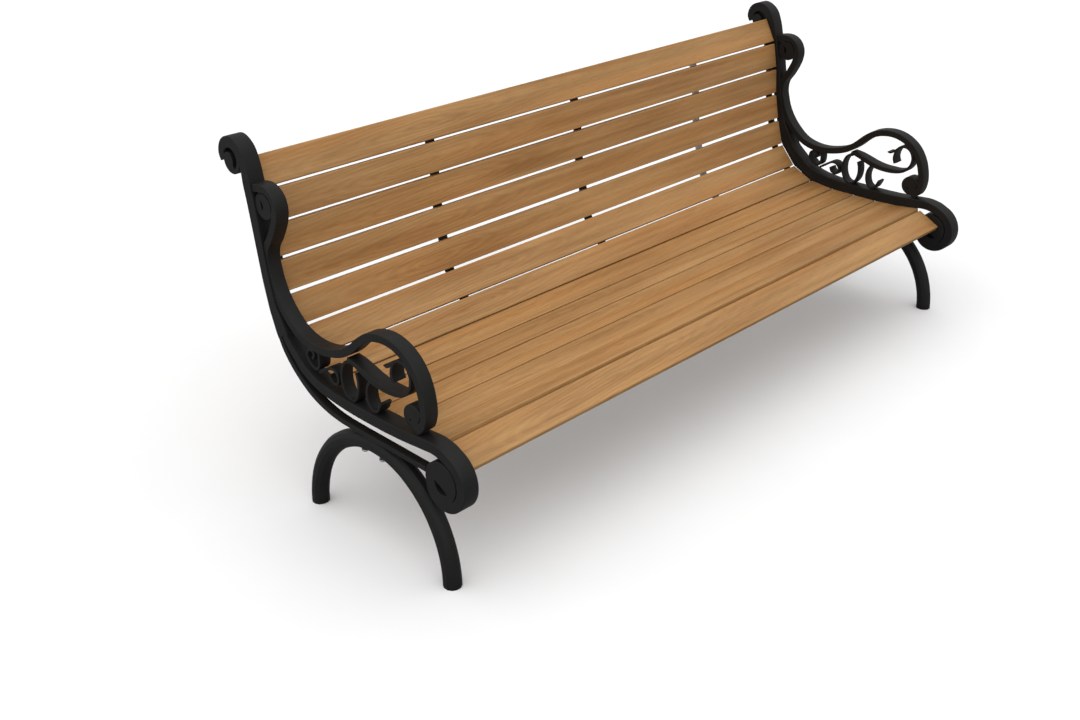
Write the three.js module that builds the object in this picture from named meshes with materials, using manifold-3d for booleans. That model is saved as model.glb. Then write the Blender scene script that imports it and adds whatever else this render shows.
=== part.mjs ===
// A two-metre park bench: scrolled cast end frames, arched legs and thirteen hardwood slats.
// Millimetres, +Z up, +Y towards the back. Each end frame is a set of bars bent in the Y-Z plane,
// so every bar is drawn there as a centreline with a thickness and then extruded along X. It is
// drawn from a point on the ground midway between the feet, and the finished bench is moved so
// that the origin is on the ground under the middle of its overall box.

import * as THREE from 'three';
import { mergeVertices } from 'three/addons/utils/BufferGeometryUtils.js';
import Module from 'manifold-3d';

const wasm = await Module();
wasm.setup();

// ---- Driving dimensions -------------------------------------------------------------------

const LENGTH = 2000;                 // overall, over the outer faces of the end frames
const BAR_WIDTH = 40;                // back and seat bars, along X
const ARM_WIDTH = 34;                // arm bar and its brace, along X
const RIBBON_WIDTH = 30;             // thin scrolls inside the arm, along X
const RIBBON_THICKNESS = 6;
const CLEARANCE = 0.3;               // between pieces that touch
const END_GAP = 1;                   // between a slat end and the frame

const ARCH_HALF_SPAN = 231;          // leg centreline at the ground
const LEG_RADIUS = 21;
const LEG_SIDES = 12;
const ARCH_STEPS = 28;
const LEG_INSET = 22;                // leg centre, in from the frame's outer face

const RAIL_UNDERSIDE = 269;          // the rail that rests on the crown of the arch
const RAIL_THICKNESS = 11;
const RAIL_WIDTH = 20.5;             // along X, flush with the frame's outer face

const SLAT_WIDTH = 73.5;
const NOSE_SLAT_WIDTH = 70;          // the last flat seat slat is a little narrower
const SLAT_THICKNESS = 16;
const SLAT_EDGE = 2;                 // chamfer along a slat's long edges
const BACK_GAP = 8.8;
const WIDE_GAP = 10.5;               // below the fourth back slat
const CORNER_GAP = 5.5;              // above the slat that turns from the back to the seat
const SEAT_GAP = 4;
const NOSE_GAP = 11.5;               // in front of the last flat seat slat
const TIGHT_GAP = 0.6;               // two seat slats are butted together
const SEAT_TUCK = 7;                 // how far the flat seat slats run under the ledge

const LEDGE_WIDTH = 8;               // the web that hangs from the seat bar to the slats

const STRAP_WIDTH = 27;
const STRAP_THICKNESS = 6;
const STRAP_INSET = 6;               // strap ends stop short of the outer slats' edges
const STRAP_PITCH = 518;
const MIDDLE_STRAP_X = 52;

const SCREW_HEAD_RADIUS = 4.5;
const SCREW_HEAD_HEIGHT = 3;
const SCREW_SHANK_RADIUS = 2.25;
const SCREW_BITE = 8;                // how far a slat screw enters the slat
const SCREW_HEAD_FLAT = 0.6;         // share of a head's radius that is flat on top
const SCREW_HEAD_RIM = 0.4;          // share of a head's height that is upright rim
const LEG_SCREW_RADIUS = 4;
const LEG_SCREW_HEAD_RADIUS = 8;
const LEG_SCREW_SPREAD = 30;         // leg screws sit this far either side of the crown
const LEG_SCREW_BITE = 7;
const LEG_SCREW_SINK = 3;            // the heads sit this deep in the underside of the tube
const LEG_SCREW_HEAD_HEIGHT = 5;
const SCREW_SIDES = 8;

const BAR_STEPS = 4;                 // straight pieces between two knots of a heavy bar
const THIN_STEPS = 3;                // the same for the rail, the brace and the ribbons
const FLICK_STEPS = 2;
const BOSS_SIDES = 36;
const MERGE_DISTANCE = 1e-4;         // vertices closer than this are one vertex
const LEVEL_TURN = 0.01;             // slats that turn less than this, in radians, are level

const outerFace = LENGTH / 2;
const innerFace = outerFace - BAR_WIDTH;
const frameCentre = outerFace - BAR_WIDTH / 2;
const legCentre = outerFace - LEG_INSET;
const railCentre = outerFace - RAIL_WIDTH / 2;
const railLevel = RAIL_UNDERSIDE + RAIL_THICKNESS / 2;
const archHeight = RAIL_UNDERSIDE - CLEARANCE - LEG_RADIUS;

// ---- Centrelines: [y, z, thickness] from one end of a bar to the other ----------------------

// The front scroll that the seat bar rolls into, the scroll at the shoulder of the arm bar,
// the one under the front of the arm, and the rolled tip at the top of the back.
const FRONT_SCROLL = { y: -228, z: 263, disc: 46 };
const FRONT_CURL = {
  startRadius: 62, endRadius: 36, startAngle: 112, endAngle: 335, thickness: 23, steps: 24,
};
const SHOULDER_SCROLL = { y: 331, z: 713, disc: 31 };
const ARM_END_SCROLL = { y: -145, z: 380, disc: 28 };
const BACK_TIP = { y: 437, z: 793, disc: 31 };

// The back bar ends at the fork, where the seat bar and the lower rail both start.
const BACK_KNOTS = [
  [298, 412, 39],
  [304.5, 423.5, 38],
  [315, 445, 34],
  [325.5, 466, 29.5],
  [333, 489, 27],
  [345, 534, 26],
  [354, 580, 26],
  [362, 624, 27],
  [370, 668, 28],
  [379, 713, 28],
  [387, 748, 28],
  [396, 790, 24],
  [412, 820, 25],
  [441, 834.5, 25],
  [467, 825, 23],
  [477.5, 803, 20],
  [472, 787, 18],
];

const RAIL_KNOTS = [
  [310, 407, 11],
  [294, 379, 12],
  [261, 342, 12],
  [216, 309, 12],
  [187, 295, 12],
  [152, 284, 12],
  [108, 276.5, 11.5],
  [60, railLevel, RAIL_THICKNESS],
  [-60, railLevel, RAIL_THICKNESS],
  [FRONT_SCROLL.y + FRONT_SCROLL.disc, railLevel, RAIL_THICKNESS],
];

const ARM_KNOTS = [
  [371, 745, 18],
  [354, 749, 18],
  [336, 750, 18],
  [318, 745, 18],
  [303, 732, 18],
  [295.5, 712, 18],
  [298, 688, 18],
  [307, 665, 18],
  [322, 638, 18],
  [338, 614, 18],
  [343, 585, 18],
  [337, 552, 18],
  [326, 521, 18],
  [308, 491, 18],
  [282, 462, 18],
  [247, 436, 18],
  [208, 424, 18],
  [165, 422, 18],
  [122, 430, 18],
  [86, 443, 18],
  [54, 464, 18],
  [22, 493, 18],
  [-10, 514, 18],
  [-57, 525, 18],
  [-100, 519, 18],
  [-138, 497, 18],
  [-163, 463, 18],
  [-176, 420, 18],
  [-177, 388, 17],
  [-169, 364, 16],
  [-152, 350, 16],
];

const SEAT_KNOTS = [
  [292, 420, 19],
  [285, 406, 19],
  [269.5, 390, 20.5],
  [250.5, 373.5, 21.5],
  [231, 356.5, 22.5],
  [204.5, 342.5, 23],
  [171.5, 332, 24],
  [124, 325, 24.5],
  [74, 322, 26],
  [0, 321.5, 27],
  [-92, 324, 26],
  [-164, 330, 25],
  [-204, 333, 24],
  [-232, 329, 23],
];

const BRACE_KNOTS = [
  [66, 437, 7],
  [41, 432, 11],
  [15, 424, 14],
  [-11, 416, 15],
  [-43, 411, 14],
  [-73, 411, 13],
  [-99, 414, 10],
  [-121, 423, 8],
  [-137, 441, 6],
  [-142, 464, 6],
  [-133, 486, 6],
  [-115, 495, 6],
  [-95, 489, 6],
  [-84, 472, 6],
  [-81, 453, 7],
  [-86, 438, 8],
];

const BRACE_FLICK_KNOTS = [
  [-88, 482, 6],
  [-76, 472, 5],
  [-66, 467, 4],
  [-58, 468, 2],
];

const RIBBONS = {
  front_scroll: [[-8, 413], [3, 395], [7, 375], [3, 354], [-9, 341], [-25, 345], [-38, 368]],
  rear_scroll: [
    [174, 414], [172, 395], [175, 377], [187, 368], [203, 374],
    [215, 389], [212, 405], [199, 410], [190, 401], [197, 390],
  ],
  wave_scroll: [
    [174, 364], [150, 380], [130, 390], [114, 387],
    [106, 374], [109, 360], [120, 355], [132, 361], [137, 372],
  ],
};

// The largest ribbon is an open oval ring, from under the arm round to its own front.
const OVAL = { y: 64, z: 383, radiusY: 29, radiusZ: 46.5, start: 95, end: -218, steps: 32 };

// ---- Geometry helpers ---------------------------------------------------------------------

// Local x, y, z of a drawn profile become world Y, Z, X.
const PROFILE_TO_WORLD = new THREE.Matrix4().makeBasis(
  new THREE.Vector3(0, 1, 0),
  new THREE.Vector3(0, 0, 1),
  new THREE.Vector3(1, 0, 0),
);

function toSolid(geometry) {
  const bare = geometry.clone();
  bare.deleteAttribute('normal');
  bare.deleteAttribute('uv');
  const merged = mergeVertices(bare, MERGE_DISTANCE);
  return new wasm.Manifold(new wasm.Mesh({
    numProp: 3,
    vertProperties: new Float32Array(merged.attributes.position.array),
    triVerts: new Uint32Array(merged.index.array),
  }));
}

function toGeometry(solid) {
  const mesh = solid.getMesh();
  const geometry = new THREE.BufferGeometry();
  geometry.setAttribute('position', new THREE.BufferAttribute(mesh.vertProperties, 3));
  geometry.setIndex(new THREE.BufferAttribute(mesh.triVerts, 1));
  geometry.computeVertexNormals();
  return geometry;
}

// Points along a centreline that passes through its knots; z of each point is the thickness.
function sampleKnots(knots, stepsPerSpan) {
  const points = knots.map(([y, z, thickness]) => new THREE.Vector3(y, z, thickness));
  const curve = new THREE.CatmullRomCurve3(points, false, 'centripetal');
  return curve.getPoints((knots.length - 1) * stepsPerSpan);
}

// Points of a scroll that tightens from one radius to another, late in its turn; angles in degrees.
function sampleScroll({ y, z }, curl) {
  const { startRadius, endRadius, startAngle, endAngle, thickness, steps } = curl;
  return Array.from({ length: steps + 1 }, (_, i) => {
    const u = i / steps;
    const radius = startRadius + (endRadius - startRadius) * u ** 3;
    const angle = THREE.MathUtils.degToRad(startAngle + (endAngle - startAngle) * u);
    return new THREE.Vector3(y + radius * Math.cos(angle), z + radius * Math.sin(angle), thickness);
  });
}

// The left-hand normal of one segment of a centreline.
function segmentNormal(centreline, i) {
  const from = centreline[i];
  const to = centreline[i + 1];
  return new THREE.Vector2(from.y - to.y, to.x - from.x).normalize();
}

// The closed outline of a bar: one side of its centreline out, the other side back.
function barOutline(centreline, grow = 0) {
  const left = [];
  const right = [];
  centreline.forEach((point, i) => {
    const last = centreline.length - 1;
    const before = segmentNormal(centreline, Math.max(i - 1, 0));
    const after = segmentNormal(centreline, Math.min(i, last - 1));
    const mitre = before.clone().add(after).normalize();
    const reach = (point.z / 2 + grow) / mitre.dot(after);
    left.push(new THREE.Vector2(point.x + mitre.x * reach, point.y + mitre.y * reach));
    right.unshift(new THREE.Vector2(point.x - mitre.x * reach, point.y - mitre.y * reach));
  });
  return [...left, ...right];
}

function extrudeProfile(points, width) {
  const shape = new THREE.Shape(points);
  const geometry = new THREE.ExtrudeGeometry(shape, { depth: width, bevelEnabled: false });
  geometry.translate(0, 0, -width / 2);
  return geometry.applyMatrix4(PROFILE_TO_WORLD);
}

// A round boss with its axis along X.
function disc(y, z, radius, width) {
  const geometry = new THREE.CylinderGeometry(radius, radius, width, BOSS_SIDES);
  geometry.rotateZ(Math.PI / 2);
  geometry.translate(0, y, z);
  return toSolid(geometry);
}

// Moves the end points of a centreline outwards, along it.
function lengthen(centreline, distance) {
  const points = centreline.map((point) => point.clone());
  const last = points.length - 1;
  for (const [end, next] of [[0, 1], [last, last - 1]]) {
    const away = points[end].clone().sub(points[next]).setZ(0).normalize();
    points[end].addScaledVector(away, distance);
  }
  return points;
}

function bar(centreline, width, grow = 0) {
  const outline = barOutline(lengthen(centreline, grow), grow);
  return toSolid(extrudeProfile(outline, width + 2 * grow));
}

// ---- Bars of one end frame, centred on X = 0 ------------------------------------------------

function backBar(grow = 0) {
  const body = bar(sampleKnots(BACK_KNOTS, BAR_STEPS), BAR_WIDTH, grow);
  return body.add(disc(BACK_TIP.y, BACK_TIP.z, BACK_TIP.disc + grow, BAR_WIDTH + 2 * grow));
}

function armBar(grow = 0) {
  const width = ARM_WIDTH + 2 * grow;
  return bar(sampleKnots(ARM_KNOTS, BAR_STEPS), ARM_WIDTH, grow)
    .add(disc(SHOULDER_SCROLL.y, SHOULDER_SCROLL.z, SHOULDER_SCROLL.disc + grow, width))
    .add(disc(ARM_END_SCROLL.y, ARM_END_SCROLL.z, ARM_END_SCROLL.disc + grow, width));
}

function lowerRail() {
  return bar(sampleKnots(RAIL_KNOTS, THIN_STEPS), RAIL_WIDTH);
}

function seatBar(grow = 0) {
  const knots = sampleKnots(SEAT_KNOTS, BAR_STEPS);
  const curl = sampleScroll(FRONT_SCROLL, FRONT_CURL);
  return bar([...knots, ...curl], BAR_WIDTH, grow)
    .add(disc(FRONT_SCROLL.y, FRONT_SCROLL.z, FRONT_SCROLL.disc + grow, BAR_WIDTH + 2 * grow));
}

function armBrace(grow = 0) {
  const body = bar(sampleKnots(BRACE_KNOTS, THIN_STEPS), ARM_WIDTH, grow);
  return body.add(bar(sampleKnots(BRACE_FLICK_KNOTS, FLICK_STEPS), ARM_WIDTH, grow));
}

function ribbon(points, grow = 0) {
  const knots = points.map(([y, z]) => [y, z, RIBBON_THICKNESS]);
  return bar(sampleKnots(knots, THIN_STEPS), RIBBON_WIDTH, grow);
}

function ovalRibbon() {
  const points = Array.from({ length: OVAL.steps + 1 }, (_, i) => {
    const u = i / OVAL.steps;
    const angle = THREE.MathUtils.degToRad(OVAL.start + (OVAL.end - OVAL.start) * u);
    const y = OVAL.y + OVAL.radiusY * Math.cos(angle);
    const z = OVAL.z + OVAL.radiusZ * Math.sin(angle);
    return new THREE.Vector3(y, z, RIBBON_THICKNESS);
  });
  return bar(points, RIBBON_WIDTH);
}

// A round bar bent to half an ellipse, standing on the ground at both ends.
class ArchCurve extends THREE.Curve {
  getPoint(t, target = new THREE.Vector3()) {
    const angle = Math.PI * t;
    return target.set(0, ARCH_HALF_SPAN * Math.cos(angle), archHeight * Math.sin(angle));
  }
}

function legArch() {
  const section = new THREE.Shape();
  for (let i = 0; i < LEG_SIDES; i += 1) {
    const angle = (2 * Math.PI * (i + 0.5)) / LEG_SIDES;
    const x = LEG_RADIUS * Math.cos(angle);
    const y = LEG_RADIUS * Math.sin(angle);
    if (i === 0) section.moveTo(x, y);
    else section.lineTo(x, y);
  }
  return toSolid(new THREE.ExtrudeGeometry(section, {
    steps: ARCH_STEPS,
    extrudePath: new ArchCurve(),
    bevelEnabled: false,
  }));
}

// ---- Slats --------------------------------------------------------------------------------

// Each slat's lean from the vertical, from the top of the back to the front of the seat, and
// the gap below or in front of it. A quarter turn is a flat seat slat. The flat ones are tucked
// under the ledges at both ends.
const SLATS = [
  { name: 'back_slat_1', lean: 27.7, gap: BACK_GAP },
  { name: 'back_slat_2', lean: 10.2, gap: BACK_GAP },
  { name: 'back_slat_3', lean: 4.5, gap: BACK_GAP },
  { name: 'back_slat_4', lean: 11, gap: WIDE_GAP },
  { name: 'back_slat_5', lean: 15, gap: CORNER_GAP },
  { name: 'back_slat_6', lean: 40.5, gap: SEAT_GAP },
  { name: 'seat_slat_1', lean: 63.5, gap: SEAT_GAP },
  { name: 'seat_slat_2', lean: 83, gap: SEAT_GAP, tuck: SEAT_TUCK },
  { name: 'seat_slat_3', lean: 90, gap: SEAT_GAP, tuck: SEAT_TUCK },
  { name: 'seat_slat_4', lean: 90, gap: SEAT_GAP, tuck: SEAT_TUCK },
  { name: 'seat_slat_5', lean: 93.2, gap: TIGHT_GAP, tuck: SEAT_TUCK },
  { name: 'seat_slat_6', lean: 97, gap: NOSE_GAP, tuck: SEAT_TUCK, width: NOSE_SLAT_WIDTH },
  { name: 'seat_slat_7', lean: 61.2, gap: 0 },
];
const TOP_EDGE = new THREE.Vector2(412.6, 801);

// Walks down the back and along the seat, and gives each slat its front-face edges in (y, z).
function layOutSlats() {
  const cursor = TOP_EDGE.clone();
  return SLATS.map(({ name, lean, gap, tuck = 0, width = SLAT_WIDTH }, i) => {
    const angle = THREE.MathUtils.degToRad(lean);
    const along = new THREE.Vector2(-Math.sin(angle), -Math.cos(angle));
    const start = cursor.clone();
    const end = start.clone().addScaledVector(along, width);
    const nextLean = THREE.MathUtils.degToRad(SLATS[Math.min(i + 1, SLATS.length - 1)].lean);
    const gapAngle = (angle + nextLean) / 2;
    cursor.set(end.x - gap * Math.sin(gapAngle), end.y - gap * Math.cos(gapAngle));
    const inward = new THREE.Vector2(-along.y, along.x);
    return { name, width, start, along, inward, halfLength: innerFace - END_GAP + tuck };
  });
}

const slatPlaces = layOutSlats();

function pointOn({ start, along, inward }, across, deep) {
  return start.clone().addScaledVector(along, across).addScaledVector(inward, deep);
}

function slat(place) {
  const corners = [
    [SLAT_EDGE, 0],
    [place.width - SLAT_EDGE, 0],
    [place.width, SLAT_EDGE],
    [place.width, SLAT_THICKNESS - SLAT_EDGE],
    [place.width - SLAT_EDGE, SLAT_THICKNESS],
    [SLAT_EDGE, SLAT_THICKNESS],
    [0, SLAT_THICKNESS - SLAT_EDGE],
    [0, SLAT_EDGE],
  ];
  const outline = corners.map(([across, deep]) => pointOn(place, across, deep));
  return toSolid(extrudeProfile(outline, 2 * place.halfLength));
}

// The web between the seat bar and the faces of the slats under it. It is drawn from the middle
// of the bar down to the slats, and the bar's own share is cut away.
function seatLedge() {
  const first = slatPlaces.findIndex(({ name }) => name === 'back_slat_6');
  const last = slatPlaces.findIndex(({ name }) => name === 'seat_slat_6');
  const onSlats = slatPlaces.slice(first, last + 1).flatMap((place) => [
    pointOn(place, 0, -CLEARANCE),
    pointOn(place, place.width, -CLEARANCE),
  ]);
  const insideBar = SEAT_KNOTS.slice(0, -2).map(([y, z]) => new THREE.Vector2(y, z));
  const outline = [...onSlats, ...insideBar.reverse()];
  return toSolid(extrudeProfile(outline, LEDGE_WIDTH));
}

// ---- Straps and screws --------------------------------------------------------------------

// Where the lines behind two neighbouring slats meet, or halfway between them if they are level.
function bendBehind(place, next, deep) {
  const from = pointOn(place, place.width, deep);
  const to = pointOn(next, 0, deep);
  const turn = place.along.cross(next.along);
  if (Math.abs(turn) < LEVEL_TURN) return from.lerp(to, 0.5);
  const reach = to.sub(from).cross(next.along) / turn;
  return from.addScaledVector(place.along, reach);
}

// A flat steel strap, bent at the gaps so that it lies flat behind every slat.
function strap() {
  const middle = SLAT_THICKNESS + CLEARANCE + STRAP_THICKNESS / 2;
  const first = slatPlaces[0];
  const last = slatPlaces[slatPlaces.length - 1];
  const bends = slatPlaces.slice(1).map((next, i) => bendBehind(slatPlaces[i], next, middle));
  const points = [
    pointOn(first, STRAP_INSET, middle),
    ...bends,
    pointOn(last, last.width - STRAP_INSET, middle),
  ];
  const centreline = points.map((p) => new THREE.Vector3(p.x, p.y, STRAP_THICKNESS));
  return bar(centreline, STRAP_WIDTH);
}

// A pan-head screw whose head sits on z = 0 and whose shank points along +Z.
function screwGeometry(headRadius, headHeight, shankRadius, shankLength) {
  const profile = [
    new THREE.Vector2(0, -headHeight),
    new THREE.Vector2(headRadius * SCREW_HEAD_FLAT, -headHeight),
    new THREE.Vector2(headRadius, -headHeight * SCREW_HEAD_RIM),
    new THREE.Vector2(headRadius, 0),
    new THREE.Vector2(shankRadius, 0),
    new THREE.Vector2(shankRadius, shankLength - shankRadius),
    new THREE.Vector2(0, shankLength),
  ];
  const geometry = new THREE.LatheGeometry(profile, SCREW_SIDES);
  return geometry.rotateX(Math.PI / 2);
}

// Turns something that points along +Z so that it points along a direction in the Y-Z plane.
function aim(geometry, direction, position) {
  const turn = new THREE.Quaternion().setFromUnitVectors(new THREE.Vector3(0, 0, 1), direction);
  geometry.applyQuaternion(turn);
  return geometry.translate(position.x, position.y, position.z);
}

function slatScrew(place, grow = 0) {
  const behindStrap = SLAT_THICKNESS + 2 * CLEARANCE + STRAP_THICKNESS;
  const at = pointOn(place, place.width / 2, behindStrap);
  const outward = new THREE.Vector3(0, -place.inward.x, -place.inward.y);
  const shankLength = behindStrap - SLAT_THICKNESS + SCREW_BITE + grow;
  const geometry = screwGeometry(
    SCREW_HEAD_RADIUS,
    SCREW_HEAD_HEIGHT,
    SCREW_SHANK_RADIUS + grow,
    shankLength,
  );
  return toSolid(aim(geometry, outward, new THREE.Vector3(MIDDLE_STRAP_X, at.x, at.y)));
}

// A screw that comes up through the crown of the arch into the rail, seen from the leg centre.
function legScrew(side, grow = 0) {
  const slope = 1 - (LEG_SCREW_SPREAD / ARCH_HALF_SPAN) ** 2;
  const under = archHeight * Math.sqrt(slope) - LEG_RADIUS + LEG_SCREW_SINK;
  const shankLength = RAIL_UNDERSIDE - under + LEG_SCREW_BITE + grow;
  const geometry = screwGeometry(
    LEG_SCREW_HEAD_RADIUS + grow,
    LEG_SCREW_HEAD_HEIGHT,
    LEG_SCREW_RADIUS + grow,
    shankLength,
  );
  const up = new THREE.Vector3(0, 0, 1);
  const place = new THREE.Vector3(0, side * LEG_SCREW_SPREAD, under);
  return toSolid(aim(geometry, up, place));
}

// ---- Materials ----------------------------------------------------------------------------

function material(color, roughness, metalness) {
  return new THREE.MeshStandardMaterial({ color, roughness, metalness });
}

const iron = material(0x21201f, 0.5, 0.4);
const wood = material(0xa67e53, 0.55, 0);
const steel = material(0x1b1a19, 0.45, 0.5);
const screwMetal = material(0x6f7174, 0.35, 0.9);

// ---- Assembly -----------------------------------------------------------------------------

const bench = new THREE.Group();

function addMesh(name, solid, look, x = 0) {
  const mesh = new THREE.Mesh(toGeometry(solid), look.clone());
  mesh.name = name;
  mesh.position.x = x;
  bench.add(mesh);
}

const back = backBar();
const backGrown = backBar(CLEARANCE);
const arm = armBar().subtract(backGrown);
const armGrown = armBar(CLEARANCE);
const seat = seatBar().subtract(backGrown).subtract(armGrown);
const seatGrown = seatBar(CLEARANCE);
const brace = armBrace().subtract(armGrown).subtract(seatGrown);

const frameParts = { back_bar: back, arm_bar: arm, seat_bar: seat, arm_brace: brace };
let taken = backGrown.add(armGrown).add(seatGrown).add(armBrace(CLEARANCE));
frameParts.oval_scroll = ovalRibbon().subtract(taken);
for (const [name, points] of Object.entries(RIBBONS)) {
  frameParts[name] = ribbon(points).subtract(taken);
  taken = taken.add(ribbon(points, CLEARANCE));
}

const legScrewHoles = legScrew(-1, CLEARANCE).add(legScrew(1, CLEARANCE));
const rail = lowerRail().subtract(seatGrown).subtract(backGrown).subtract(legScrewHoles);
const ledge = seatLedge().subtract(seatGrown).subtract(backGrown);

for (const [side, direction] of [['left', -1], ['right', 1]]) {
  for (const [name, solid] of Object.entries(frameParts)) {
    addMesh(`${side}_${name}`, solid, iron, direction * frameCentre);
  }
  // The leg screws go up into the middle of the rail, which is off the middle of the leg.
  const screwOffset = [direction * (railCentre - legCentre), 0, 0];
  const leg = legArch().subtract(legScrewHoles.translate(screwOffset));
  addMesh(`${side}_seat_ledge`, ledge, iron, direction * (innerFace + LEDGE_WIDTH / 2));
  addMesh(`${side}_lower_rail`, rail, iron, direction * railCentre);
  addMesh(`${side}_leg_arch`, leg, iron, direction * legCentre);
  addMesh(`${side}_leg_screw_front`, legScrew(-1), screwMetal, direction * railCentre);
  addMesh(`${side}_leg_screw_rear`, legScrew(1), screwMetal, direction * railCentre);
}

const strapXs = {
  left_end_strap: -innerFace + CLEARANCE + STRAP_WIDTH / 2,
  left_strap: MIDDLE_STRAP_X - STRAP_PITCH,
  middle_strap: MIDDLE_STRAP_X,
  right_strap: MIDDLE_STRAP_X + STRAP_PITCH,
  right_end_strap: innerFace - CLEARANCE - STRAP_WIDTH / 2,
};
const screwHoles = slatPlaces
  .map((place) => slatScrew(place, CLEARANCE))
  .reduce((all, hole) => all.add(hole));
const plainStrap = strap();
const drilledStrap = plainStrap.subtract(screwHoles.translate([-MIDDLE_STRAP_X, 0, 0]));
for (const [name, x] of Object.entries(strapXs)) {
  addMesh(name, name === 'middle_strap' ? drilledStrap : plainStrap, steel, x);
}

for (const place of slatPlaces) {
  addMesh(place.name, slat(place).subtract(slatScrew(place, CLEARANCE)), wood);
  addMesh(`${place.name}_screw`, slatScrew(place), screwMetal);
}

const overall = new THREE.Box3().setFromObject(bench);
const overallCentre = overall.getCenter(new THREE.Vector3());
for (const mesh of bench.children) {
  mesh.position.y -= overallCentre.y;
}

export default bench;
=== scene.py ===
"""Looks of a two-metre park bench with scrolled iron ends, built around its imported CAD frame.

Every place on the bench comes from the frame: bar outlines, slat faces and strap lines are read
from the CAD nodes, and each piece here is a finer version of the node it stands for. Metres, +X
along the bench, +Y towards the back, +Z up.
"""

import math

import bmesh
import bpy
from mathutils import Matrix, Vector


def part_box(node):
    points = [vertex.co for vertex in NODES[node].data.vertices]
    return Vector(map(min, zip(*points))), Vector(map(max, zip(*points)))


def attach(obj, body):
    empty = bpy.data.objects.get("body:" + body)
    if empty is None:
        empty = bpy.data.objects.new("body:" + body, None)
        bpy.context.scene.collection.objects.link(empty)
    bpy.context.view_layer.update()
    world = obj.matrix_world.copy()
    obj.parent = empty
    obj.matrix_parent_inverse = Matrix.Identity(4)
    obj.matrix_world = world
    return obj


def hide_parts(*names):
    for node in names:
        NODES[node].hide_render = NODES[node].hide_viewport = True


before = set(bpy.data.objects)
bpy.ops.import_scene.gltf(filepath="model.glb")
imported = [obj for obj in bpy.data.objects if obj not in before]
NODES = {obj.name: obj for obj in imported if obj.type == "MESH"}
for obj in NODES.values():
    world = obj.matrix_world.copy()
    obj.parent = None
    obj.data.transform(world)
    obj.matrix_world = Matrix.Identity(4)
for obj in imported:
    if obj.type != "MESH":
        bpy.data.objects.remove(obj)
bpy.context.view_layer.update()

MM = 0.001

# ---- Driving values -------------------------------------------------------------------------

WELD = 0.01 * MM                    # CAD corners closer than this are one point
SHORT_EDGE = 0.8 * MM               # outline edges below this are dropped
CORNER = math.radians(33)           # sharper turns than this stay sharp corners
OUTLINE_STEPS = 3                   # curve points for each CAD outline edge
ROUNDING_STEPS = 3                  # rings round a bar's long edges

BAR_EDGE = 1.5 * MM                 # edge radius of the heavy bars
THIN_EDGE = 1.0 * MM                # edge radius of the thin scrolls
WELD_GROWTH = 0.4 * MM              # castings grow this much, so that they meet at their welds
STRAP_EDGE = 0.8 * MM
SLAT_EDGE = 2.2 * MM
EYE_DEPTH = 13 * MM                 # hollows in the scrolls
GROOVE_DEPTH = 7 * MM
GROOVE_TAPER = (0.12, 0.76)         # where on a half sine a groove's width starts, and how far it runs
MITRE_LIMIT = 0.5                   # keeps the mitre of a very sharp corner from shooting out

LEG_SIDES = 12
LEG_EDGE = math.radians(4)          # half the turn taken by each rounded facet edge
LEG_EDGE_TURNS = (-1, -0.35, 0.35, 1)   # points round one rounded facet edge, as shares of it
LEG_STEPS = 96

HEAD_RADIUS = 4.5 * MM
HEAD_HEIGHT = 3 * MM
RECESS_RADIUS = 2 * MM
RECESS_DEPTH = 1.6 * MM
RECESS_LOBES = 0.45                 # how deeply the recess is notched into a cross
RECESS_TAPER = 0.8                  # its floor against its mouth
HEAD_DOME = ((1.0, 0.0), (1.0, 0.35), (0.93, 0.65), (0.78, 0.88), (0.58, 1.0))  # radius, height
LATHE_SIDES = 24
LEG_SCREW_RISE = 2 * MM             # how far the leg screw heads are raised towards the tube

# Each scroll's centre, from the lowest corner of the seat bar's side, the lowest corner of the
# arm bar's side, the front top corner of the arm bar's side, and the rear top of the back bar's.
FRONT_SCROLL_IN = Vector((72.8, 65.1)) * MM
ARM_END_SCROLL_IN = Vector((41.5, 36.4)) * MM
SHOULDER_SCROLL_IN = Vector((517.5, -46.3)) * MM
BACK_TIP_IN = Vector((-38, -51)) * MM

HEAVY_BARS = ("back_bar", "arm_bar", "seat_bar", "lower_rail")
THIN_BARS = (
    "arm_brace", "seat_ledge", "oval_scroll", "front_scroll", "rear_scroll", "wave_scroll",
)
STRAPS = ("left_end_strap", "left_strap", "middle_strap", "right_strap", "right_end_strap")
PALE_STRAP = "right_strap"          # this one is painted pale grey, unlike the other straps

IRON_DARK = (0.0090, 0.0086, 0.0082, 1)
IRON_LIGHT = (0.0130, 0.0125, 0.0120, 1)
# the colour painted along the iron's edges as a highlight
IRON_EDGE_HIGHLIGHT = (0.022, 0.021, 0.020, 1)
STRAP_DARK = (0.007, 0.0068, 0.0066, 1)
STRAP_LIGHT = (0.011, 0.0107, 0.0104, 1)
PALE_DARK = (0.34, 0.34, 0.35, 1)
PALE_LIGHT = (0.46, 0.46, 0.47, 1)
ZINC_DARK = (0.30, 0.31, 0.32, 1)
ZINC_LIGHT = (0.52, 0.53, 0.54, 1)
IRON_SPECULAR = 0.15
EDGE_HIGHLIGHT_RADIUS = 1.6 * MM              # how near an edge the painted highlight reaches
EDGE_AGREEMENT = (0.995, 0.9)       # from a flat surface to a full edge, as a cosine

WOOD_DARK = (0.290, 0.148, 0.052, 1)
WOOD_LIGHT = (0.460, 0.262, 0.106, 1)
WOOD_RED = (1.00, 0.86, 0.70, 1)
PORE_BROWN = (0.17, 0.080, 0.030, 1)
FIGURE_X = -0.50                    # where the heart of the grain figure meets a board's face
FIGURE_SLOPE = 0.085
RING_PITCH = 7.5 * MM
BOARD_SHIFT = (0.021, 0.37, 0.11)   # how far the grain moves from one board to the next
WOOD_SPECULAR = 0.2
RING_SHARE = 0.09                   # how much each part of the grain adds to the tone
FIBRE_SHARE = 0.45
PATCH_SHARE = 0.8
PORE_SHARE = 0.35

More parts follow.
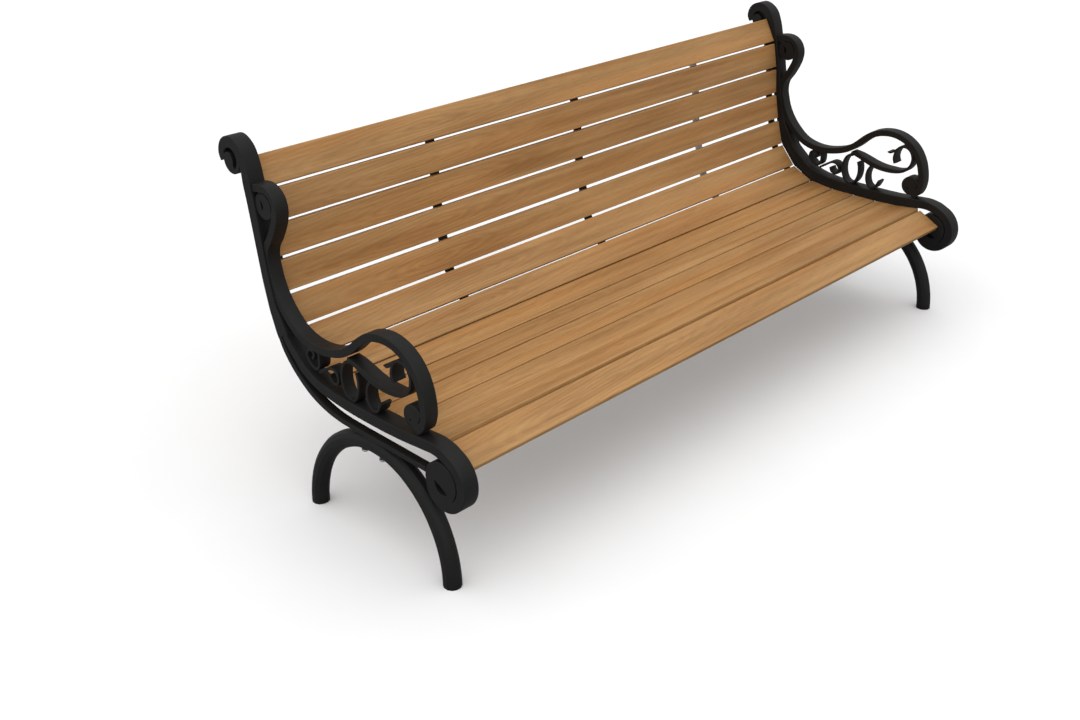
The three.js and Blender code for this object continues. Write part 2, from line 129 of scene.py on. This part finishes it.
# How finely each part of the grain is drawn, along a board, across it and through it.
SWAY_GRAIN = (3.0, 14.0, 14.0)
STREAK_GRAIN = (1.7, 70.0, 70.0)
FIBRE_GRAIN = (10.0, 480.0, 480.0)
PATCH_GRAIN = (2.2, 13.0, 13.0)
PORE_GRAIN = (45.0, 1100.0, 1100.0)
RED_GRAIN = (1.1, 21.0, 21.0)

# The viewpoint: where the camera stands, which way it looks, and its lens.
EYE = Vector((-2.448, -2.0334, 1.699))
LOOK_AZIMUTH = math.radians(45.41)  # from +Y towards +X
LOOK_DOWN = math.radians(24.09)
LENS = 43.13
SENSOR = 36.0
SHIFT_UP = -0.0685                  # the view is shifted down, as a share of the image width

FLOOR_SIZE = 600.0
FLOOR_SEEN = (0.86, 0.88)           # how pale the floor looks, from its darker to its lighter clouds
FLOOR_BOUNCE = 0.35                 # how much of its light it throws back onto the bench
DOME_LIGHT = 0.56                   # studio light from every side
KEY_LIGHT = 1.15                    # what is added on the side that the key light comes from
KEY_FROM = Vector((-0.40, -0.20, 0.89)).normalized()


# ---- Outlines read from the CAD ---------------------------------------------------------------

def walk_edges(edges):
    """The closed chains that a set of mesh edges makes, each a list of (y, z) vectors."""
    links = {}
    for edge in edges:
        a, b = edge.verts
        links.setdefault(a, []).append(b)
        links.setdefault(b, []).append(a)
    chains = []
    while links:
        start = next(iter(links))
        chain = [start]
        here = start
        while links.get(here):
            following = links[here].pop()
            links[following].remove(here)
            if following is not start:
                chain.append(following)
            here = following
        for vert in chain:
            if not links.get(vert):
                links.pop(vert, None)
        chains.append([Vector((vert.co.y, vert.co.z)) for vert in chain])
    return chains


def signed_area(loop):
    """Positive for a loop that runs anticlockwise, with +Y to the right and +Z up."""
    return sum(a.cross(b) for a, b in zip(loop, loop[1:] + loop[:1])) / 2


def side_outlines(node):
    """The outlines of a bar's flat +X side. The outer one is anticlockwise, holes clockwise."""
    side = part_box(node)[1].x
    bm = bmesh.new()
    bm.from_mesh(NODES[node].data)
    bmesh.ops.remove_doubles(bm, verts=bm.verts, dist=WELD)
    flat = {f for f in bm.faces if all(abs(v.co.x - side) < WELD for v in f.verts)}
    rim = [e for e in bm.edges if sum(f in flat for f in e.link_faces) == 1]
    loops = sorted(walk_edges(rim), key=lambda loop: -abs(signed_area(loop)))
    bm.free()
    for index, loop in enumerate(loops):
        if (signed_area(loop) > 0) != (index == 0):
            loop.reverse()
    return loops


def turn_at(loop, index):
    before = loop[index] - loop[index - 1]
    after = loop[(index + 1) % len(loop)] - loop[index]
    return abs(before.angle_signed(after))


def drop_short_edges(loop):
    kept = []
    for point in loop:
        if not kept or (point - kept[-1]).length > SHORT_EDGE:
            kept.append(point)
    if (kept[0] - kept[-1]).length <= SHORT_EDGE:
        kept.pop()
    return kept


def curve_between(p0, p1, p2, p3, share):
    """A point on the centripetal Catmull-Rom curve from p1 to p2."""
    d1, d2, d3 = ((b - a).length ** 0.5 for a, b in ((p0, p1), (p1, p2), (p2, p3)))
    leave = (p1 - p0) / d1 - (p2 - p0) / (d1 + d2) + (p2 - p1) / d2
    arrive = (p2 - p1) / d2 - (p3 - p1) / (d2 + d3) + (p3 - p2) / d3
    s2 = share * share
    s3 = s2 * share
    return (
        p1 * (2 * s3 - 3 * s2 + 1)
        + leave * d2 * (s3 - 2 * s2 + share)
        + p2 * (3 * s2 - 2 * s3)
        + arrive * d2 * (s3 - s2)
    )


def smooth_outline(loop):
    """Curves a faceted outline, keeping its real corners. Gives (point, is_corner) pairs."""
    count = len(loop)
    corner = [turn_at(loop, i) > CORNER for i in range(count)]
    smooth = []
    for i, p1 in enumerate(loop):
        p2 = loop[(i + 1) % count]
        p0 = p1 * 2 - p2 if corner[i] else loop[i - 1]
        p3 = p2 * 2 - p1 if corner[(i + 1) % count] else loop[(i + 2) % count]
        smooth.append((p1, corner[i]))
        for step in range(1, OUTLINE_STEPS):
            smooth.append((curve_between(p0, p1, p2, p3, step / OUTLINE_STEPS), False))
    return smooth


def inset(points, distance):
    """Moves a closed loop to its left, which is into the solid, with mitred corners."""
    count = len(points)
    moved = []
    for i, point in enumerate(points):
        before = (point - points[i - 1]).normalized()
        after = (points[(i + 1) % count] - point).normalized()
        mitre = (before + after).normalized()
        reach = distance / max(mitre.dot(after), MITRE_LIMIT)
        moved.append(point + Vector((-mitre.y, mitre.x)) * reach)
    return moved


# ---- Hollows cut in the scrolls -----------------------------------------------------------------

def polar(centre, radius, degrees):
    angle = math.radians(degrees)
    return centre + Vector((math.cos(angle), math.sin(angle))) * radius


def groove(centre, start, end, widths, depth=GROOVE_DEPTH, steps=20):
    """A curved groove round a centre; start and end are (radius, degrees)."""
    outer = []
    inner = []
    for i in range(steps + 1):
        share = i / steps
        radius = start[0] + (end[0] - start[0]) * share
        degrees = start[1] + (end[1] - start[1]) * share
        swell = math.sin(math.pi * (GROOVE_TAPER[0] + GROOVE_TAPER[1] * share))
        width = (widths[0] + (widths[1] - widths[0]) * share) * swell
        outer.append(polar(centre, radius + width / 2, degrees))
        inner.append(polar(centre, radius - width / 2, degrees))
    return outer + inner[::-1], depth


def eye(tail, tip, half_width, bow=0.0, skew=1.0, depth=EYE_DEPTH, steps=18):
    """A lens or teardrop between two points; bow bends it and skew moves its widest part."""
    along = tip - tail
    across = Vector((-along.y, along.x)).normalized()
    upper = []
    lower = []
    for i in range(steps + 1):
        share = i / steps
        middle = tail + along * share + across * (bow * math.sin(math.pi * share))
        half = half_width * math.sin(math.pi * share ** skew)
        upper.append(middle + across * half)
        if 0 < i < steps:
            lower.append(middle - across * half)
    return upper + lower[::-1], depth


# ---- Meshes ---------------------------------------------------------------------------------------

def finish_piece(name, bm, material, replaced=()):
    """Makes a mesh object of bm that rides on the frame and stands for some CAD nodes."""
    bmesh.ops.recalc_face_normals(bm, faces=bm.faces)
    mesh = bpy.data.meshes.new(name)
    bm.to_mesh(mesh)
    bm.free()
    piece = bpy.data.objects.new(name, mesh)
    bpy.context.scene.collection.objects.link(piece)
    mesh.materials.append(material)
    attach(piece, "root")
    if replaced:
        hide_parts(*replaced)
    return piece


def join_rings(bm, first, second, corners=()):
    """Smooth quads between two closed rings; edges at corners are left sharp."""
    count = len(first)
    for i in range(count):
        j = (i + 1) % count
        face = bm.faces.new((first[i], first[j], second[j], second[i]))
        face.smooth = True
    for i in corners:
        edge = bm.edges.get((first[i], second[i]))
        edge.smooth = False


def ring_of(bm, x, points):
    return [bm.verts.new((x, p.x, p.y)) for p in points]


def ring_edges(bm, ring):
    return [bm.edges.get(pair) or bm.edges.new(pair) for pair in zip(ring, ring[1:] + ring[:1])]


def side_profile(low, high, radius):
    """(x, inset) of each ring from one side of a bar to the other, round both edges."""
    quarter = [math.pi / 2 * i / ROUNDING_STEPS for i in range(ROUNDING_STEPS + 1)]
    near = [(low + radius * (1 - math.cos(a)), radius * (1 - math.sin(a))) for a in quarter]
    far = [(high - radius * (1 - math.cos(a)), radius * (1 - math.sin(a))) for a in quarter]
    return near + far[::-1]


def sharp_outline(loop):
    """Keeps every corner of an outline, for a bar that is folded and not curved."""
    return [(point, True) for point in loop]


def cast_bar(name, node, radius, material, hollows=(), shape=smooth_outline, growth=0.0):
    """A bar with rounded edges, and hollows in both of its flat sides."""
    low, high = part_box(node)
    bm = bmesh.new()
    caps = {low.x: [], high.x: []}
    for outline in side_outlines(node):
        smooth = shape(drop_short_edges(outline))
        points = [point for point, _ in smooth]
        corners = [i for i, (_, is_corner) in enumerate(smooth) if is_corner]
        profile = side_profile(low.x, high.x, radius)
        rings = [ring_of(bm, x, inset(points, depth - growth)) for x, depth in profile]
        for first, second in zip(rings, rings[1:]):
            join_rings(bm, first, second, corners)
        caps[low.x] += ring_edges(bm, rings[0])
        caps[high.x] += ring_edges(bm, rings[-1])
    for hollow, depth in hollows:
        for x, inward in ((low.x, 1), (high.x, -1)):
            rim = ring_of(bm, x, hollow)
            bed = ring_of(bm, x + inward * depth, hollow)
            join_rings(bm, rim, bed)
            bm.faces.new(bed)
            caps[x] += ring_edges(bm, rim)
    for edges in caps.values():
        bmesh.ops.triangle_fill(bm, use_beauty=True, edges=edges, normal=Vector((1, 0, 0)))
    return finish_piece(name, bm, material, [node])


def leg_section(radius):
    """Twelve flats with rounded edges, as points round the tube's centre."""
    points = []
    for i in range(LEG_SIDES):
        middle = 2 * math.pi * (i + 0.5) / LEG_SIDES
        for turn in LEG_EDGE_TURNS:
            angle = middle + turn * LEG_EDGE
            flat = math.pi / LEG_SIDES
            to_flat = (angle - middle + flat) if turn < 0 else (angle - middle - flat)
            reach = radius * math.cos(flat) / math.cos(to_flat)
            points.append(Vector((math.cos(angle), math.sin(angle))) * reach)
    return points


def leg_arch(side, material):
    """A tube bent to half an ellipse, with its cut ends flat on the ground."""
    node = f"{side}_leg_arch"
    low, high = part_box(node)
    flat_radius = (high.x - low.x) / 2
    radius = flat_radius / math.cos(math.pi / LEG_SIDES)
    centre = (low + high) / 2
    half_span = (high.y - low.y) / 2 - flat_radius
    height = high.z - flat_radius
    bm = bmesh.new()
    rings = []
    for step in range(LEG_STEPS + 1):
        angle = math.pi * step / LEG_STEPS
        spine = Vector((centre.x, centre.y + half_span * math.cos(angle), height * math.sin(angle)))
        outward = Vector((0, height * math.cos(angle), half_span * math.sin(angle))).normalized()
        rings.append([
            bm.verts.new(spine + Vector((p.x, 0, 0)) + outward * p.y) for p in leg_section(radius)
        ])
    for first, second in zip(rings, rings[1:]):
        join_rings(bm, first, second)
    bm.faces.new(rings[0])
    bm.faces.new(rings[-1])
    return finish_piece(f"{side}_leg_tube", bm, material, [node])


# ---- Slats, straps and screws -------------------------------------------------------------------

def slat_axes(node):
    """A slat's middle and axes: X along the bench, Y up or back across its face, Z out of it."""
    low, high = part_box(node)
    loop = side_outlines(node)[0]
    edges = [b - a for a, b in zip(loop, loop[1:] + loop[:1])]
    across = max(edges, key=lambda edge: edge.length).normalized()
    if across.x < 0:
        across.negate()
    x_axis = Vector((1, 0, 0))
    y_axis = Vector((0, across.x, across.y))
    z_axis = x_axis.cross(y_axis)
    turn = Matrix((x_axis, y_axis, z_axis)).transposed().to_4x4()
    return Matrix.Translation((low + high) / 2) @ turn


def extent(node, axes):
    """Half the size of a node along each of the given axes."""
    local = axes.inverted()
    corners = [local @ v.co for v in NODES[node].data.vertices]
    return [max(abs(c[i]) for c in corners) for i in range(3)]


def rounded_section(half_width, half_thickness, radius, steps=4):
    """A rounded rectangle; a point just inside each end of a flat keeps the flats flat."""
    hold = 0.5 * MM
    points = []
    for quarter in range(4):
        middle = math.pi / 4 + quarter * math.pi / 2
        centre = Vector((
            math.copysign(half_width - radius, math.cos(middle)),
            math.copysign(half_thickness - radius, math.sin(middle)),
        ))
        angles = [quarter * math.pi / 2 + math.pi / 2 * i / steps for i in range(steps + 1)]
        arc = [centre + Vector((math.cos(a), math.sin(a))) * radius for a in angles]
        enter = Vector((math.cos(angles[0] - math.pi / 2), math.sin(angles[0] - math.pi / 2)))
        leave = Vector((math.cos(angles[-1] + math.pi / 2), math.sin(angles[-1] + math.pi / 2)))
        points += [arc[0] + enter * hold] + arc + [arc[-1] + leave * hold]
    return points


def slat_board(node, number, material):
    axes = slat_axes(node)
    half_length, half_width, half_thickness = extent(node, axes)
    section = rounded_section(half_width, half_thickness, SLAT_EDGE)
    bm = bmesh.new()
    profile = side_profile(-half_length, half_length, SLAT_EDGE / 2)
    rings = [ring_of(bm, x, inset(section, depth)) for x, depth in profile]
    for first, second in zip(rings, rings[1:]):
        join_rings(bm, first, second)
    bm.faces.new(rings[0])
    bm.faces.new(rings[-1])
    board = finish_piece(f"{node}_board", bm, material, [node])
    board.matrix_world = axes
    board["board"] = float(number)
    return board


def screw_head(bm, place, radius, height):
    """A pan head that stands out along -Z of place, with a cross recess in its top."""
    recess = radius * RECESS_RADIUS / HEAD_RADIUS
    depth = height * RECESS_DEPTH / HEAD_HEIGHT
    rings = [(radius * r, height * h, 0.0) for r, h in HEAD_DOME]
    rings += [
        (recess, height, RECESS_LOBES),
        (recess * RECESS_TAPER, height - depth, RECESS_LOBES),
    ]
    made = []
    for ring_radius, level, lobes in rings:
        ring = []
        for i in range(LATHE_SIDES):
            angle = 2 * math.pi * i / LATHE_SIDES
            reach = ring_radius * (1 - lobes * abs(math.sin(2 * angle)))
            point = Vector((math.cos(angle) * reach, math.sin(angle) * reach, -level))
            ring.append(bm.verts.new(place @ point))
        made.append(ring)
    for first, second in zip(made, made[1:]):
        join_rings(bm, first, second)
    bm.faces.new(made[0])
    bm.faces.new(made[-1])


def strap_screws(strap, slats, material):
    """A screw through a strap into every slat. The CAD has those of the middle strap only."""
    low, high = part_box(strap)
    bm = bmesh.new()
    for slat in slats:
        axes = slat_axes(slat)
        local = axes.inverted()
        deepest = min((local @ v.co).z for v in NODES[f"{slat}_screw"].data.vertices)
        place = axes.copy()
        place.translation.x = (low.x + high.x) / 2
        place @= Matrix.Translation((0, 0, deepest + HEAD_HEIGHT))
        screw_head(bm, place, HEAD_RADIUS, HEAD_HEIGHT)
    replaced = [f"{slat}_screw" for slat in slats] if strap == "middle_strap" else []
    return finish_piece(f"{strap}_screws", bm, material, replaced)


def leg_screw(node, material):
    low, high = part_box(node)
    radius = (high.x - low.x) / 2
    height = radius * HEAD_HEIGHT / HEAD_RADIUS
    top = low.z + height + LEG_SCREW_RISE
    place = Matrix.Translation(((low.x + high.x) / 2, (low.y + high.y) / 2, top))
    bm = bmesh.new()
    screw_head(bm, place, radius, height)
    return finish_piece(f"{node}_head", bm, material, [node])


# ---- Materials ------------------------------------------------------------------------------------

def new_material(name):
    """A material with a Principled shader; gives the material, its node tree and the shader."""
    material = bpy.data.materials.new(name)
    material.use_nodes = True
    tree = material.node_tree
    tree.nodes.clear()
    output = tree.nodes.new("ShaderNodeOutputMaterial")
    shader = tree.nodes.new("ShaderNodeBsdfPrincipled")
    tree.links.new(shader.outputs[0], output.inputs[0])
    return material, tree, shader


def plug(tree, socket, value):
    if isinstance(value, bpy.types.NodeSocket):
        tree.links.new(value, socket)
    else:
        socket.default_value = value


def maths(tree, operation, *values):
    node = tree.nodes.new("ShaderNodeMath")
    node.operation = operation
    for socket, value in zip(node.inputs, values):
        plug(tree, socket, value)
    return node.outputs[0]


def vector_maths(tree, operation, *values):
    node = tree.nodes.new("ShaderNodeVectorMath")
    node.operation = operation
    for socket, value in zip(node.inputs, values):
        plug(tree, socket, value)
    return node.outputs["Value" if operation in ("DOT_PRODUCT", "LENGTH") else "Vector"]


def blend_colours(tree, factor, first, second, mode="MIX"):
    node = tree.nodes.new("ShaderNodeMix")
    node.data_type = "RGBA"
    node.blend_type = mode
    plug(tree, node.inputs[0], factor)
    plug(tree, node.inputs[6], first)
    plug(tree, node.inputs[7], second)
    return node.outputs[2]


def combine(tree, *values):
    node = tree.nodes.new("ShaderNodeCombineXYZ")
    for socket, value in zip(node.inputs, values):
        plug(tree, socket, value)
    return node.outputs[0]


def remap(tree, value, from_low, from_high, to_low=0.0, to_high=1.0):
    node = tree.nodes.new("ShaderNodeMapRange")
    for socket, item in zip(node.inputs, (value, from_low, from_high, to_low, to_high)):
        plug(tree, socket, item)
    return node.outputs[0]


def noise(tree, where, scale, detail=3.0, roughness=0.5, distortion=0.0):
    node = tree.nodes.new("ShaderNodeTexNoise")
    plug(tree, node.inputs["Vector"], where)
    node.inputs["Scale"].default_value = scale
    node.inputs["Detail"].default_value = detail
    node.inputs["Roughness"].default_value = roughness
    node.inputs["Distortion"].default_value = distortion
    return node.outputs["Fac"]


def object_place(tree):
    return tree.nodes.new("ShaderNodeTexCoord").outputs["Object"]


def bump(tree, shader, height, strength, distance):
    node = tree.nodes.new("ShaderNodeBump")
    node.inputs["Strength"].default_value = strength
    node.inputs["Distance"].default_value = distance
    plug(tree, node.inputs["Height"], height)
    plug(tree, shader.inputs["Normal"], node.outputs[0])


def edge_mask(tree, radius):
    """About 1 where a surface turns within the radius, 0 on flat and gently curved ground."""
    bevel = tree.nodes.new("ShaderNodeBevel")
    bevel.samples = 4
    bevel.inputs["Radius"].default_value = radius
    flat = tree.nodes.new("ShaderNodeNewGeometry").outputs["Normal"]
    agree = vector_maths(tree, "DOT_PRODUCT", bevel.outputs[0], flat)
    return remap(tree, agree, *EDGE_AGREEMENT)


def painted_iron(name, dark, light, edge, gloss, grain):
    """Satin black paint on metal: a fine grain, cloudy tone, and edges painted lighter in patches as a
    highlight.
    """
    material, tree, shader = new_material(name)
    place = object_place(tree)
    cloud = noise(tree, place, scale=18.0, detail=4.0, roughness=0.6)
    fine = noise(tree, place, scale=grain, detail=2.0, roughness=0.6)
    patchy = remap(tree, cloud, 0.3, 0.6, 0.45, 1.0)
    # Edges are painted lighter in patches, a painted highlight, and made a little glossier.
    edge_highlight = maths(tree, "MULTIPLY", edge_mask(tree, EDGE_HIGHLIGHT_RADIUS), patchy)
    tone = remap(tree, maths(tree, "ADD", cloud, fine), 0.75, 1.25)
    paint = blend_colours(tree, tone, dark, light)
    plug(tree, shader.inputs["Base Color"], blend_colours(tree, edge_highlight, paint, edge))
    rough = remap(tree, fine, 0.3, 0.7, gloss - 0.05, gloss + 0.08)
    edge_gloss = maths(tree, "MULTIPLY", edge_highlight, 0.08)
    plug(tree, shader.inputs["Roughness"], maths(tree, "SUBTRACT", rough, edge_gloss))
    shader.inputs["Specular IOR Level"].default_value = IRON_SPECULAR
    bump(tree, shader, fine, strength=0.25, distance=0.25 * MM)
    return material


def zinc_steel():
    """Bright plated steel with a fine crystal pattern."""
    material, tree, shader = new_material("zinc_plated_steel")
    place = object_place(tree)
    crystals = noise(tree, place, scale=420.0, detail=2.0, roughness=0.7)
    dull = noise(tree, place, scale=60.0, detail=3.0, roughness=0.5)
    tone = blend_colours(tree, crystals, ZINC_DARK, ZINC_LIGHT)
    plug(tree, shader.inputs["Base Color"], tone)
    shader.inputs["Metallic"].default_value = 0.9
    plug(tree, shader.inputs["Roughness"], remap(tree, dull, 0.3, 0.7, 0.28, 0.5))
    bump(tree, shader, crystals, strength=0.2, distance=0.1 * MM)
    return material


def oiled_hardwood():
    """Warm brown wood: long streaks, fine pores, soft patches, and faint rings near one end."""
    material, tree, shader = new_material("oiled_hardwood")
    attribute = tree.nodes.new("ShaderNodeAttribute")
    attribute.attribute_type = "OBJECT"
    attribute.attribute_name = "board"
    number = attribute.outputs["Fac"]
    place = object_place(tree)
    shift = combine(tree, *(maths(tree, "MULTIPLY", number, step) for step in BOARD_SHIFT))
    grain_place = vector_maths(tree, "ADD", place, shift)

    def grain(stretch, detail=3.0, roughness=0.55):
        return noise(tree, vector_maths(tree, "MULTIPLY", grain_place, stretch), 1.0, detail, roughness)

    # Growth rings of a trunk whose heart crosses the board's face at FIGURE_X.
    sway = maths(tree, "SUBTRACT", grain(SWAY_GRAIN), 0.5)
    parts = tree.nodes.new("ShaderNodeSeparateXYZ")
    plug(tree, parts.inputs[0], place)
    along = maths(tree, "SUBTRACT", parts.outputs[0], FIGURE_X)
    rise = maths(tree, "MULTIPLY", along, FIGURE_SLOPE)
    rise = maths(tree, "MULTIPLY_ADD", sway, 0.045, rise)
    across = maths(tree, "MULTIPLY_ADD", sway, 0.03, parts.outputs[1])
    across = maths(tree, "MULTIPLY_ADD", along, -0.05, across)
    heart = vector_maths(tree, "LENGTH", combine(tree, 0.0, across, rise))
    ripple = maths(tree, "SINE", maths(tree, "MULTIPLY", heart, 2 * math.pi / RING_PITCH))
    near = remap(tree, maths(tree, "ABSOLUTE", along), 0.0, 0.55, 1.0, 0.25)
    rings = maths(tree, "MULTIPLY", ripple, near)

    streaks = grain(STREAK_GRAIN, detail=4.0, roughness=0.6)
    fibres = grain(FIBRE_GRAIN, detail=3.0, roughness=0.7)
    patches = grain(PATCH_GRAIN, detail=2.0, roughness=0.5)
    pores = remap(tree, grain(PORE_GRAIN, detail=1.0, roughness=0.5), 0.62, 0.72)
    tone = maths(tree, "MULTIPLY_ADD", rings, RING_SHARE, streaks)
    tone = maths(tree, "MULTIPLY_ADD", fibres, FIBRE_SHARE, tone)
    tone = maths(tree, "MULTIPLY_ADD", patches, PATCH_SHARE, tone)
    wood = blend_colours(tree, remap(tree, tone, 0.85, 1.4), WOOD_DARK, WOOD_LIGHT)
    red = remap(tree, grain(RED_GRAIN, detail=2.0, roughness=0.5), 0.42, 0.66, 0.0, 0.7)
    wood = blend_colours(tree, red, wood, WOOD_RED, "MULTIPLY")
    wood = blend_colours(tree, maths(tree, "MULTIPLY", pores, PORE_SHARE), wood, PORE_BROWN)
    plug(tree, shader.inputs["Base Color"], wood)
    plug(tree, shader.inputs["Roughness"], remap(tree, streaks, 0.3, 0.7, 0.46, 0.6))
    shader.inputs["Specular IOR Level"].default_value = WOOD_SPECULAR
    relief = maths(tree, "SUBTRACT", maths(tree, "ADD", fibres, streaks), pores)
    bump(tree, shader, relief, strength=0.3, distance=0.2 * MM)
    return material


def pale_floor():
    """A nearly white floor that throws less light back onto the bench than it shows the camera."""
    material, tree, shader = new_material("pale_floor")
    cloud = noise(tree, object_place(tree), scale=3.0)
    seen = remap(tree, cloud, 0.3, 0.7, *FLOOR_SEEN)
    looked_at = tree.nodes.new("ShaderNodeLightPath").outputs["Is Camera Ray"]
    share = remap(tree, looked_at, 0.0, 1.0, FLOOR_BOUNCE, 1.0)
    tone = maths(tree, "MULTIPLY", seen, share)
    plug(tree, shader.inputs["Base Color"], combine(tree, tone, tone, tone))
    shader.inputs["Roughness"].default_value = 0.9
    shader.inputs["Specular IOR Level"].default_value = 0.0
    return material


# ---- The bench --------------------------------------------------------------------------------------

def offset(y, z):
    """A step in millimetres across a bar's flat side."""
    return Vector((y, z)) * MM


def scroll_hollows(side):
    """The grooves and eyes cut in the scrolls of one end frame, by bar."""
    seat_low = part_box(f"{side}_seat_bar")[0]
    arm_low, arm_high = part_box(f"{side}_arm_bar")
    front = Vector((seat_low.y, seat_low.z)) + FRONT_SCROLL_IN
    arm_end = Vector((arm_low.y, arm_low.z)) + ARM_END_SCROLL_IN
    shoulder = Vector((arm_low.y, arm_high.z)) + SHOULDER_SCROLL_IN
    back_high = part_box(f"{side}_back_bar")[1]
    back_tip = Vector((back_high.y, back_high.z)) + BACK_TIP_IN
    return {
        "back_bar": [
            groove(back_tip, (15 * MM, 25), (27 * MM, 225), (4 * MM, 26 * MM), depth=EYE_DEPTH),
        ],
        "seat_bar": [
            eye(front + offset(20, 0), front + offset(-21, -23), 8.5 * MM, bow=6 * MM),
        ],
        "arm_bar": [
            groove(shoulder, (28.5 * MM, 50), (27 * MM, 205), (2.6 * MM, 4.4 * MM)),
            eye(shoulder + offset(16, 14), shoulder + offset(7, -14), 4 * MM, bow=-5 * MM, skew=1.3),
            groove(arm_end, (25 * MM, 150), (17.5 * MM, 207), (3 * MM, 2.2 * MM)),
            groove(arm_end, (22 * MM, -38), (25 * MM, -92), (2.2 * MM, 1.8 * MM), depth=3 * MM),
            eye(arm_end + offset(10, -5.5), arm_end + offset(5.5, -10.5), 2.8 * MM),
        ],
    }


def end_frame(side, iron, screw_metal):
    hollows = scroll_hollows(side)
    for bar in HEAVY_BARS:
        node = f"{side}_{bar}"
        hollow = hollows.get(bar, ())
        cast_bar(f"{node}_casting", node, BAR_EDGE, iron, hollow, growth=WELD_GROWTH)
    for scroll in THIN_BARS:
        node = f"{side}_{scroll}"
        cast_bar(f"{node}_casting", node, THIN_EDGE, iron, growth=WELD_GROWTH)
    leg_arch(side, iron)
    for end in ("front", "rear"):
        leg_screw(f"{side}_leg_screw_{end}", screw_metal)


def slats_and_straps(wood, paint, pale_paint, screw_metal):
    slats = [name for name in NODES if "_slat_" in name and not name.endswith("_screw")]
    slats.sort()
    for number, slat in enumerate(slats):
        slat_board(slat, number, wood)
    for strap in STRAPS:
        finish = pale_paint if strap == PALE_STRAP else paint
        cast_bar(f"{strap}_steel", strap, STRAP_EDGE, finish, shape=sharp_outline)
        strap_screws(strap, slats, screw_metal)


# ---- Floor, light and camera --------------------------------------------------------------------------

def floor():
    """A flat floor that reaches to the horizon."""
    bm = bmesh.new()
    bmesh.ops.create_grid(bm, x_segments=1, y_segments=1, size=FLOOR_SIZE / 2)
    mesh = bpy.data.meshes.new("floor")
    bm.to_mesh(mesh)
    bm.free()
    ground = bpy.data.objects.new("floor", mesh)
    bpy.context.scene.collection.objects.link(ground)
    mesh.materials.append(pale_floor())


def studio_light():
    """A soft dome, brighter on its key light's side, that the camera itself sees as plain white."""
    world = bpy.data.worlds.new("studio")
    bpy.context.scene.world = world
    world.use_nodes = True
    tree = world.node_tree
    background = tree.nodes["Background"]
    background.inputs["Color"].default_value = (1, 1, 1, 1)
    direction = tree.nodes.new("ShaderNodeTexCoord").outputs["Generated"]
    towards_key = vector_maths(tree, "DOT_PRODUCT", direction, KEY_FROM)
    key = maths(tree, "MULTIPLY", maths(tree, "MAXIMUM", towards_key, 0.0), KEY_LIGHT)
    looked_at = tree.nodes.new("ShaderNodeLightPath").outputs["Is Camera Ray"]
    light = maths(tree, "ADD", key, DOME_LIGHT)
    plug(tree, background.inputs["Strength"], maths(tree, "MAXIMUM", light, looked_at))
    bpy.context.scene.view_settings.view_transform = "Standard"


def camera():
    data = bpy.data.cameras.new("camera")
    data.lens = LENS
    data.sensor_width = SENSOR
    data.shift_y = SHIFT_UP
    viewpoint = bpy.data.objects.new("camera", data)
    bpy.context.scene.collection.objects.link(viewpoint)
    viewpoint.location = EYE
    viewpoint.rotation_euler = (math.pi / 2 - LOOK_DOWN, 0, -LOOK_AZIMUTH)
    bpy.context.scene.camera = viewpoint


iron = painted_iron("cast_iron_paint", IRON_DARK, IRON_LIGHT, IRON_EDGE_HIGHLIGHT, gloss=0.46, grain=700.0)
strap_paint = painted_iron("strap_paint", STRAP_DARK, STRAP_LIGHT, IRON_EDGE_HIGHLIGHT, gloss=0.4, grain=1100.0)
# One strap gets the strap paint in pale grey, with its edges painted lighter as a highlight.
pale_paint = painted_iron("pale_strap_paint", PALE_DARK, PALE_LIGHT, PALE_LIGHT, gloss=0.45, grain=500.0)
zinc = zinc_steel()
for side in ("left", "right"):
    end_frame(side, iron, zinc)
slats_and_straps(oiled_hardwood(), strap_paint, pale_paint, zinc)
floor()
studio_light()
camera()
